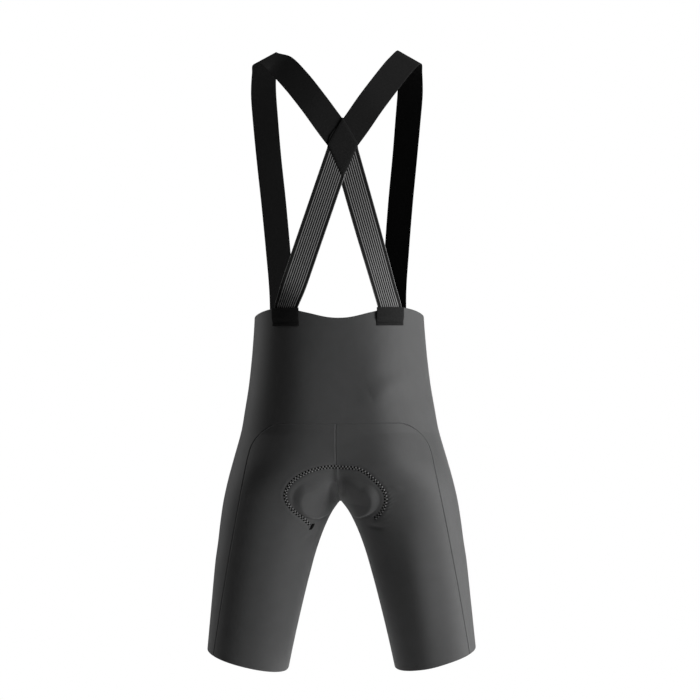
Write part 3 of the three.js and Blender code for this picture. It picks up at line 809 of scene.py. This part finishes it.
# Depth of the straps and elastics behind the shoulders and the back
BACK_DEPTH = table(
    "z y",
    (0, 0),
    (-13, -19),
    (-38, -43),
    (-75, -70),
    (-110, -87),
    (-130, -93.5),
    (-146, -96.5),
    (-165, -97.5),
    (-200, -97),
    (-300, -93),
    (-377, -88.5),
)
CROSSING_X, CROSSING_Z, CROSSING_LEAN = 7.5, -136, 3
JOIN_Z = -151
TAB_X = {-1: -77.2, 1: 73.8}
TAB_WIDTH, TAB_TOP, TAB_BOTTOM, TAB_SEAT, TAB_END = 39, -376, -402.5, -397, -390
TAB_STITCH_Z = TAB_BOTTOM + 4.5
PATCH_TOP, PATCH_SIDE, PATCH_HALF_WIDTH, PATCH_TIP = 36, -4, 22.5, -53
FRONT_LEAN = -0.026
TACK_X, TACK_TOP, TACK_BOTTOM = 86.5, -419.5, -444
PLANE_STRETCH = (-230, -190, -98, -60)
LAYER_STRETCH = (-260, -200, -90, -40)
ELASTIC_TURN = {-1: 50, 1: 200}
REST_FROM, REST_TO = 26, 2
STEPS_BETWEEN = 10

# Pale lines of the elastic, measured across it from its edge
STRIPES = 9
STRIPE_PITCH = 3.225
STRIPES_FROM = 5.8
STRIPE_WIDTH = 1.15
EDGE_LINE_WIDTH = 0.75


def panel_spot(x, z, facing):
    """Point and outward direction of the cloth at x and z, on the back or the front."""

    def at(u, v):
        p = oval_point(facing * angle_at_x(abs(u), v), v)
        return np.array((u, p[1], v))

    across = at(x + 2, z) - at(x - 2, z)
    down = at(x, z - 2) - at(x, z + 2)
    return at(x, z), unit(facing * np.cross(across, down))


def back_spot(x, z):
    return panel_spot(x, z, -1)


def front_spot(x, z):
    return panel_spot(x, z, 1)


def back_plane(x, z):
    """Plane that the straps share where they cross."""
    run = read(BACK_DEPTH, "y", z + 3) - read(BACK_DEPTH, "y", z - 3)
    return np.array((x, read(BACK_DEPTH, "y", z), z)), unit(np.array((0, -6, run)))


def share_within(z, stretch):
    low, full_low, full_high, high = stretch
    return smooth(z, low, full_low) * (1 - smooth(z, full_high, high))


def layer_lift(z):
    """The strap that starts on the right shoulder runs over the other one."""
    return STRAP_LAYER * share_within(z, LAYER_STRETCH)


def spline(knots, steps):
    """Places along a centripetal curve through the knots, evenly spread between them."""
    knots = np.asarray(knots, float)
    ends = [2 * knots[0] - knots[1], *knots, 2 * knots[-1] - knots[-2]]
    found = []
    for k in range(1, len(knots)):
        a, b, c, d = ends[k - 1 : k + 3]
        da, db, dc = (max(np.linalg.norm(q - p), 1e-6) ** 0.5 for p, q in ((a, b), (b, c), (c, d)))
        start = ((b - a) / da - (c - a) / (da + db) + (c - b) / db) * db
        end = ((c - b) / db - (d - b) / (db + dc) + (d - c) / dc) * db
        for t in np.arange(steps) / steps:
            bend = (-3 * b + 3 * c - 2 * start - end) * t**2 + (2 * b - 2 * c + start + end) * t**3
            found.append(b + start * t + bend)
    return np.array(found + [knots[-1]])


def plain_grid(name, points, outward, low, high, uv, material):
    """Closed wall over a rectangle of places, rows down and columns across."""
    rows, columns = points.shape[:2]
    cells = cells_of(np.arange(rows * columns).reshape(rows, columns))
    flat_uv = uv.reshape(-1, 2)[cells]
    points, outward = points.reshape(-1, 3), outward.reshape(-1, 3)
    return closed_wall(name, cells, points, outward, low.ravel(), high.ravel(), flat_uv, material)


def rounded_edges(across, width, thick):
    """How far the faces of a band draw together towards its two edges."""
    edge = np.minimum(across, width - across)
    return 0.4 * thick * (1 - np.sqrt(np.clip(1 - (1 - np.clip(edge / 0.9, 0, 1)) ** 2, 0, 1)))


def band_columns(width, start=1.6, step=0.85):
    edge = np.array((0, 0.15, 0.4, 0.9))
    middle = np.arange(start, width - 1.5, step)
    return np.concatenate([edge, middle, width - edge[::-1]])


def band(name, stations, columns, thick, materials, ribs=None):
    """Band of webbing along stations: place, outward direction, surface, hold, lift and share
    of the full width."""
    places = np.array([s[0] for s in stations])
    along = unit(np.gradient(places, axis=0))
    width = columns[-1]
    points, outs = [], []
    for (place, out, on, hold, lift, share), ahead in zip(stations, along):
        side = unit(np.cross(ahead, out))
        face = unit(np.cross(side, ahead))
        row = place + np.outer(columns - width / 2, side) * share
        turned = np.tile(face, (len(columns), 1))
        if hold > 0:
            lying = [on(p[0], p[2]) for p in row]
            row = lerp(row, np.array([spot for spot, _ in lying]), hold)
            turned = unit(lerp(turned, np.array([n for _, n in lying]), hold))
        points.append(row + turned * lift)
        outs.append(turned)
    points, outs = np.array(points), np.array(outs)
    length = np.concatenate([[0], np.cumsum(np.linalg.norm(np.diff(places, axis=0), axis=1))])
    v, u = np.meshgrid(-length, columns, indexing="ij")
    draw = np.tile(rounded_edges(columns, width, thick), (len(places), 1))
    high = thick - draw
    if ribs is not None:
        high = high + ribs(u)
    made = plain_grid(name, points, outs, draw, high, np.stack([u, v], -1), materials[0])
    # Further materials go on the inner faces; for the straps this is the darker copy of the
    # webbing, painted shade
    for inside in materials[1:]:
        made.data.materials.append(inside)
        cells = (len(places) - 1) * (len(columns) - 1)
        for face in made.data.polygons[cells : 2 * cells]:
            face.material_index = 1
    return made


def strap(hand, materials):
    """Plain strap: tacked to the front panel, over the shoulder and down to the crossing."""
    tack_x = hand * TACK_X + FRONT_LEAN * front_spot(TACK_X, TACK_TOP)[0][1]
    stations = []
    for z in np.linspace(TACK_BOTTOM, TACK_TOP, 10):
        stations.append((*front_spot(tack_x, z), front_spot, 1, LAY_GAP, 1))
    top, out = front_spot(tack_x, TACK_TOP)
    knots, outs = [top + out * LAY_GAP], [out]
    mirror = np.array((hand, 1, 1))
    for x, y, z, *out in zip(*STRAP_FRONT.values()):
        knots.append((hand * x + FRONT_LEAN * y, y, z))
        outs.append(np.array(out) * mirror)
    for reach, z, *out in zip(*STRAP_BACK[hand].values()):
        lean = CROSSING_LEAN * math.sin(math.pi * reach)
        knots.append(back_plane(lerp(hand * SHOULDER_X, CROSSING_X, reach) + lean, z)[0])
        outs.append(np.array(out) * mirror)
    bend, out = back_plane(CROSSING_X, CROSSING_Z)
    knots.append(bend)
    outs.append(out)
    line = spline(knots, STEPS_BETWEEN)
    turns = unit(spline(outs, STEPS_BETWEEN))
    tab_x = TAB_X[-hand]

    def lift(p):
        return layer_lift(p[2]) if hand > 0 and p[1] < 0 else 0

    for p, n in list(zip(line, turns))[1:]:
        hold = share_within(p[2], PLANE_STRETCH) if p[1] < 0 else 0
        stations.append((p, n, back_plane, hold, lift(p), 1))
    for z in np.linspace(CROSSING_Z, JOIN_Z, 7)[1:]:
        share = (z - CROSSING_Z) / (TAB_TOP - CROSSING_Z)
        p, n = back_plane(lerp(CROSSING_X, tab_x, share), z)
        narrow = lerp(1, ELASTIC_WIDTH / STRAP_WIDTH, (z - CROSSING_Z) / (JOIN_Z - CROSSING_Z))
        stations.append((p, n, back_plane, 1, lift(p), narrow))
    name = f"webbing_strap_{side_name(hand)}"
    return band(name, stations, band_columns(STRAP_WIDTH), STRAP_THICK, materials)


def elastic(hand, material):
    """Striped elastic: from the crossing down to the back's top edge."""
    tab_x = TAB_X[hand]
    landing = back_spot(tab_x, TAB_TOP)[1]
    stations = []
    for z in np.linspace(JOIN_Z, TAB_TOP, 121)[:-1]:
        share = (z - CROSSING_Z) / (TAB_TOP - CROSSING_Z)
        p, n = back_plane(lerp(CROSSING_X, tab_x, share), z)
        n = unit(lerp(n, landing, 1 - smooth(z, TAB_TOP, TAB_TOP + ELASTIC_TURN[hand])))
        rest = 1 - smooth(z, TAB_TOP + REST_TO, TAB_TOP + REST_FROM)
        on = back_spot if rest > 0 else back_plane
        hold = rest + share_within(z, PLANE_STRETCH)
        lift = (layer_lift(z) if hand < 0 else 0) + LAY_GAP * rest
        stations.append((p, n, on, hold, lift, 1))
    for z in np.linspace(TAB_TOP, TAB_END, 8):
        stations.append((*back_spot(tab_x, z), back_spot, 1, LAY_GAP, 1))

    def ribs(u):
        line = (u - STRIPES_FROM) / STRIPE_PITCH
        striped = (line > -0.5) & (line < STRIPES - 0.5)
        return 0.12 * np.cos(2 * np.pi * line) * striped

    quarter = STRIPE_PITCH / 4
    columns = band_columns(ELASTIC_WIDTH, STRIPES_FROM - 4 * quarter, quarter)
    name = f"striped_elastic_{side_name(hand)}"
    return band(name, stations, columns, STRAP_THICK, [material], ribs)


def tab(hand, material):
    """End tab: laid over the elastic's end, and down onto the panel below it."""
    heights = np.array((TAB_TOP, TAB_TOP - 0.4, *np.arange(TAB_TOP - 1.2, TAB_BOTTOM + 1, -0.8),
                        TAB_BOTTOM + 0.4, TAB_BOTTOM))
    columns = band_columns(TAB_WIDTH)
    points, outs = np.empty((2, len(heights), len(columns), 3))
    for i, z in enumerate(heights):
        for j, u in enumerate(columns):
            points[i, j], outs[i, j] = back_spot(TAB_X[hand] + TAB_WIDTH / 2 - u, z)
    lift = LAY_GAP + STRAP_LAYER * smooth(heights, TAB_SEAT, TAB_END)
    low = np.tile(lift[:, None], (1, len(columns)))
    draw = rounded_edges(columns, TAB_WIDTH, PATCH_THICK)[None]
    stitch = hump(heights - TAB_STITCH_Z, 0.9)[:, None]
    v, u = np.meshgrid(heights, columns, indexing="ij")
    high = low + PATCH_THICK - draw - 0.3 * stitch
    name = f"elastic_tab_{side_name(hand)}"
    return plain_grid(name, points, outs, low + draw, high, np.stack([u, v], -1), material)


def cross_patch(material):
    """Shield-shaped patch over the crossing."""
    steps = 44
    s = np.linspace(0, 1, steps + 1)
    top, tip = np.array((0, PATCH_TOP)), np.array((0, PATCH_TIP))
    left = np.array((-PATCH_HALF_WIDTH, PATCH_SIDE))
    right = np.array((PATCH_HALF_WIDTH, PATCH_SIDE))
    points, outs = np.empty((2, steps + 1, steps + 1, 3))
    flat = np.empty((steps + 1, steps + 1, 2))
    for i in range(steps + 1):
        for j in range(steps + 1):
            flat[i, j] = lerp(lerp(top, left, s[j]), lerp(right, tip, s[j]), s[i])
            x, z = flat[i, j] + (CROSSING_X, CROSSING_Z)
            points[i, j], outs[i, j] = back_plane(x, z)
    edge = np.minimum(np.minimum(s, 1 - s)[:, None], np.minimum(s, 1 - s)[None]) * 40
    above, below = np.array((SHOULDER_X, 0)), np.array((TAB_X[-1], TAB_TOP))
    bend = np.array((CROSSING_X, CROSSING_Z))
    end = np.where(flat[..., 1:] > 0, above, below)
    run = unit(end - bend)
    off = np.abs(flat[..., 0] * run[..., 1] - flat[..., 1] * run[..., 0])
    layers = 2 - smooth(off, STRAP_WIDTH / 2, STRAP_WIDTH / 2 + 7)
    low = STRAP_LAYER * layers - LAYER_GAP + 0.15
    stitch = 0.12 * hump(edge - 3, 0.8)
    high = low + lerp(0.3, PATCH_THICK, smooth(edge, 0, 3)) - stitch
    return plain_grid("crossing_patch", points, outs, low, high, flat, material)


def side_name(hand):
    return "right" if hand > 0 else "left"


# Seat pad

PAD_AXIS_Y, PAD_AXIS_Z = -10, -560
PAD_OUTLINE = table(
    "angle half",
    (23.5, 27),
    (26, 41),
    (30.5, 53),
    (35, 62.5),
    (40, 70),
    (45, 73),
    (49.5, 70),
    (55, 60),
    (64, 43),
    (76, 31),
    (92, 27),
    (108, 29),
    (124, 35),
    (138, 36),
    (150, 26),
)
PAD_EDGE, PAD_MIDDLE, PAD_GAP = 1.6, 9, 1.9
PAD_ROWS, PAD_COLUMNS = 110, 64


def pad_spots(angle, x):
    """Places on the inside of the crotch, along rays that turn about an axis across the body."""

    def outside(reach):
        y = PAD_AXIS_Y - reach * np.cos(np.radians(angle))
        z = PAD_AXIS_Z - reach * np.sin(np.radians(angle))
        cx, rx, cy, ry, n = section(z)
        value = np.abs((np.abs(x) - cx) / rx) ** n + np.abs((y - cy) / ry) ** n - 1
        return value > 0, np.stack([x + 0 * y, y, z], -1)

    reach = np.full(np.broadcast(angle, x).shape, 8.0)
    going = np.ones(reach.shape, bool)
    for _ in range(60):
        going = going & ~outside(reach + 4)[0]
        reach = np.where(going, reach + 4, reach)
    near, far = reach, reach + 4
    for _ in range(20):
        half = (near + far) / 2
        out = outside(half)[0]
        near, far = np.where(out, near, half), np.where(out, half, far)
    return outside(near)[1]


def seat_pad(material):
    """Cushioned pad inside the crotch, with sewn channels on its inner face."""
    rows = np.linspace(0, 1, PAD_ROWS + 1)
    columns = np.linspace(0, 1, PAD_COLUMNS + 1)
    step = np.arange(len(PAD_OUTLINE["angle"])) / (len(PAD_OUTLINE["angle"]) - 1)
    shape = {"at": step, **PAD_OUTLINE}
    angle = np.interp(rows, step, PAD_OUTLINE["angle"])[:, None]
    half = read(shape, "half", rows, "at")[:, None]
    x = half * (1 - 2 * columns)[None]
    spots = drift(pad_spots(angle + 0 * x, x))
    across = np.gradient(spots, axis=1)
    along = np.gradient(spots, axis=0)
    outward = unit(np.cross(across, along))
    outward *= np.sign(outward[PAD_ROWS // 2, PAD_COLUMNS // 2, 2]) * -1
    c = np.abs(1 - 2 * columns)[None]
    r = np.abs(1 - 2 * rows)[:, None]
    crown = (1 - c**2) * (1 - r**3)
    reach = smooth(rows, 0.1, 0.2) * (1 - smooth(rows, 0.8, 0.92))
    channel = hump(x, 3.0) * reach[:, None]
    side = hump(np.abs(x) - 0.62 * half, 2.6) * (1 - r**6)
    waist = hump(angle - 62, 1.6) * smooth(np.abs(x), 4, 9)
    thick = lerp(PAD_EDGE, PAD_MIDDLE, crown)
    thick -= 3.2 * channel + (2.2 * side + 2.4 * waist) * crown
    high = np.full(thick.shape, -CLOTH - PAD_GAP)
    low = high - np.maximum(thick, PAD_EDGE)
    uv = np.stack([x, angle * 1.6 + 0 * x], -1)
    return plain_grid("seat_pad_cushion", spots, outward, low, high, uv, material)


# Threads


def tube(points, radius, sides=6):
    """Vertices and faces of a closed tube along points."""
    points = np.asarray(points)
    ahead = unit(np.gradient(points, axis=0))
    guide = np.array((0.31, 0.62, 0.72))
    first = unit(np.cross(ahead, guide))
    second = np.cross(ahead, first)
    turn = 2 * np.pi * np.arange(sides) / sides
    c, s = np.cos(turn)[None, :, None], np.sin(turn)[None, :, None]
    ring = c * first[:, None] + s * second[:, None]
    vertices = (points[:, None] + ring * radius).reshape(-1, 3)
    faces = []
    for k in range(len(points) - 1):
        for s in range(sides):
            t = (s + 1) % sides
            faces.append((k * sides + s, k * sides + t, (k + 1) * sides + t, (k + 1) * sides + s))
    faces.append(tuple(range(sides))[::-1])
    faces.append(tuple((len(points) - 1) * sides + s for s in range(sides)))
    return vertices, faces


def threads(name, lines, radius, material):
    """One piece from many short lengths of thread."""
    vertices, faces, count = [], [], 0
    for line in lines:
        more, rings = tube(line, radius)
        vertices.append(more)
        faces += [tuple(count + k for k in ring) for ring in rings]
        count += len(more)
    return make_object(name, np.concatenate(vertices), faces, None, material)


def tree_of(*objects):
    vertices, faces = [], []
    for made in objects:
        start = len(vertices)
        vertices += [v.co.copy() for v in made.data.vertices]
        faces += [[start + k for k in face.vertices] for face in made.data.polygons]
    return BVHTree.FromPolygons(vertices, faces)


def drop_on(tree, x, z, lift):
    """Place on the back of the pieces at x and z in mm, lifted off along their outward side."""
    hit, normal, _, _ = tree.ray_cast(Vector((x * MM, -0.6, z * MM)), Vector((0, 1, 0)))
    if hit is None:
        return None
    return np.array(hit) / MM + np.array(normal) * lift


def zigzag(name, tree, sign, height, radius, material, more=()):
    """Zigzag stitches that hold the seat pad, one thread of the two."""
    line = along_line(PAD_STITCHES, STITCH_PITCH / 2)
    ahead = unit(np.gradient(line, axis=0))
    across = np.stack([-ahead[:, 1], ahead[:, 0]], -1)
    sign = np.where(np.arange(len(line)) % 2 == 0, sign, -sign)[:, None]
    needles = line + across * sign * STITCH_WIDTH / 2
    lines = []
    pairs = [*zip(needles[:-1], needles[1:])]
    pairs += [(np.array(start), np.array(end)) for start, end in more]
    for start, end in pairs:
        stitch = []
        for t in (0, 0.18, 0.5, 0.82, 1):
            x, z = lerp(start, end, t)
            place = drop_on(tree, x, z, height * math.sin(math.pi * t) ** 0.5 - 0.2)
            if place is not None:
                stitch.append(place)
        if len(stitch) == 5:
            lines.append(stitch)
    return threads(name, lines, radius, material)


def tab_stitches(hand, tree, material):
    """Row of stitches along the lower edge of a tab."""
    lines = []
    for start in np.arange(-TAB_WIDTH / 2 + 1.5, TAB_WIDTH / 2 - 3, 2.6):
        stitch = []
        for t in (0, 0.2, 0.5, 0.8, 1):
            lift = 0.22 * (math.sin(math.pi * t) ** 0.5) - 0.1
            stitch.append(drop_on(tree, TAB_X[hand] + start + 2.0 * t, TAB_STITCH_Z, lift))
        lines.append(stitch)
    return threads(f"tab_stitches_{side_name(hand)}", lines, 0.2, material)


# Scene


def add_camera():
    camera = bpy.data.objects.new("camera", bpy.data.cameras.new("camera"))
    bpy.context.scene.collection.objects.link(camera)
    camera.data.sensor_width = SENSOR
    camera.data.lens = FOCAL
    camera.data.clip_end = 50
    upright = Matrix.Rotation(math.radians(90), 4, "X")
    roll = Matrix.Rotation(math.radians(CAMERA_ROLL), 4, "Z")
    camera.matrix_world = Matrix.Translation(Vector(CAMERA_PLACE) * MM) @ upright @ roll
    bpy.context.scene.camera = camera


def add_light(name, turn, height, power):
    """Soft box aimed at the middle, turned round from straight behind and raised, in degrees."""
    light = bpy.data.lights.new(name, "AREA")
    light.shape = "RECTANGLE"
    light.size, light.size_y = LIGHT_SIZE
    light.energy = power
    made = bpy.data.objects.new(name, light)
    bpy.context.scene.collection.objects.link(made)
    turn, height = math.radians(turn), math.radians(height)
    level = math.cos(height)
    away = Vector((math.sin(turn) * level, -math.cos(turn) * level, math.sin(height)))
    aim = (-away).to_track_quat("-Z", "Y").to_matrix().to_4x4()
    place = Vector(LIGHT_TARGET) + away * LIGHT_AWAY
    made.matrix_world = Matrix.Translation(place) @ aim


def add_world(ambient):
    """White behind the object, and a weak even light on it."""
    world = bpy.data.worlds.new("studio")
    bpy.context.scene.world = world
    world.use_nodes = True
    nodes, links = world.node_tree.nodes, world.node_tree.links
    background = nodes["Background"]
    path = nodes.new("ShaderNodeLightPath")
    strength = nodes.new("ShaderNodeMapRange")
    strength.inputs[3].default_value = ambient
    strength.inputs[4].default_value = 1.0
    links.new(path.outputs["Is Camera Ray"], strength.inputs[0])
    links.new(strength.outputs[0], background.inputs["Strength"])
    background.inputs["Color"].default_value = (1, 1, 1, 1)


def add_floor():
    """Pale round floor well below the garment."""
    sides, radius, height = 96, 2200, -1400
    turn = 2 * np.pi * np.arange(sides) / sides
    ring = [radius * np.cos(turn), radius * np.sin(turn), np.full(sides, height)]
    nodes = Nodes("floor_paint")
    nodes.greys(nodes.add("TexNoise", {"Scale": 6.0, "Detail": 3.0}).outputs[0], 0.78, 0.84)
    nodes.set(Roughness=0.9)
    floor = make_object("floor", np.stack(ring, -1), [list(range(sides))], None, nodes.material)


bpy.context.scene.view_settings.view_transform = "Standard"
add_camera()
add_world(0.0)
add_floor()
add_light("key", 60, 15, 77)
add_light("low", 98, -20, 66)
add_light("rim", -120, 15, 19)
add_light("front", 176, 12, 40)

knit = knit_material("matt_knit", 0.052)
webbing = webbing_material("plain_webbing", 0.013, 0.04)
# Darker copy of the same webbing for the straps' inner faces: painted shade, standing in for the
# shade that falls on them
webbing_painted_shade = webbing_material("webbing_inner_face_painted_shade", 0.002, 0.0)
stripes = striped_material("striped_elastic", 0.013, 0.24)
thread = thread_material("thread_grey", 0.2, 0.3)
black_thread = thread_material("thread_black", 0.002, 0.06)
pad_cloth = pad_material("pad_cloth", 0.022)


def all_cells(rows, columns, hands=(1, -1)):
    return np.concatenate([surface.cells(hand, *rows, *columns) for hand in hands])


back_cloth = panel(
    "back_and_side_knit",
    np.concatenate([
        all_cells((0, NI - 1), (FRONT_LINE, SIDE_LINE)),
        all_cells((0, YOKE_LINE), (SIDE_LINE, NJ - 1)),
    ]),
    knit,
)
seat_cloth = {
    hand: panel(f"seat_knit_{side_name(hand)}",
                all_cells((YOKE_LINE, NI - 1), (SIDE_LINE, NJ - 1), (hand,)), knit)
    for hand in (-1, 1)
}
front_cloth = {
    hand: panel(f"front_knit_{side_name(hand)}",
                all_cells((0, NI - 1), (0, FRONT_LINE), (hand,)), knit)
    for hand in (-1, 1)
}
# The straps' inner faces take the darker copy of the webbing, which is painted shade
straps = {hand: strap(hand, [webbing, webbing_painted_shade]) for hand in (-1, 1)}
elastics = {hand: elastic(hand, stripes) for hand in (-1, 1)}
tabs = {hand: tab(hand, webbing) for hand in (-1, 1)}
patch = cross_patch(webbing)
pad = seat_pad(pad_cloth)

seat_tree = tree_of(*seat_cloth.values())
pad_threads = [
    zigzag("seat_pad_zigzag", seat_tree, 1, 0.75, 0.6, thread),
    zigzag("seat_pad_zigzag_under", seat_tree, -1, 0.6, 0.8, black_thread, BAR_TACK),
]
tab_threads = {hand: tab_stitches(hand, tree_of(tabs[hand]), black_thread) for hand in (-1, 1)}

# Each piece rides on the one body and stands for its solid


def cloth(piece, node, with_pieces=()):
    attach(piece, "root")
    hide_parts(node)
    for extra in with_pieces:
        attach(extra, "root")


cloth(back_cloth, "body_panel")
for hand in (-1, 1):
    name = side_name(hand)
    extra = pad_threads if hand > 0 else []
    cloth(seat_cloth[hand], f"seat_panel_{name}",
          extra)
    cloth(front_cloth[hand], f"front_panel_{name}")
    cloth(straps[hand], f"strap_{name}")
    cloth(elastics[hand], f"elastic_{name}")
    cloth(tabs[hand], f"tab_{name}",
          [tab_threads[hand]])
cloth(patch, "cross_patch")
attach(pad, "root")
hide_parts("seat_pad")
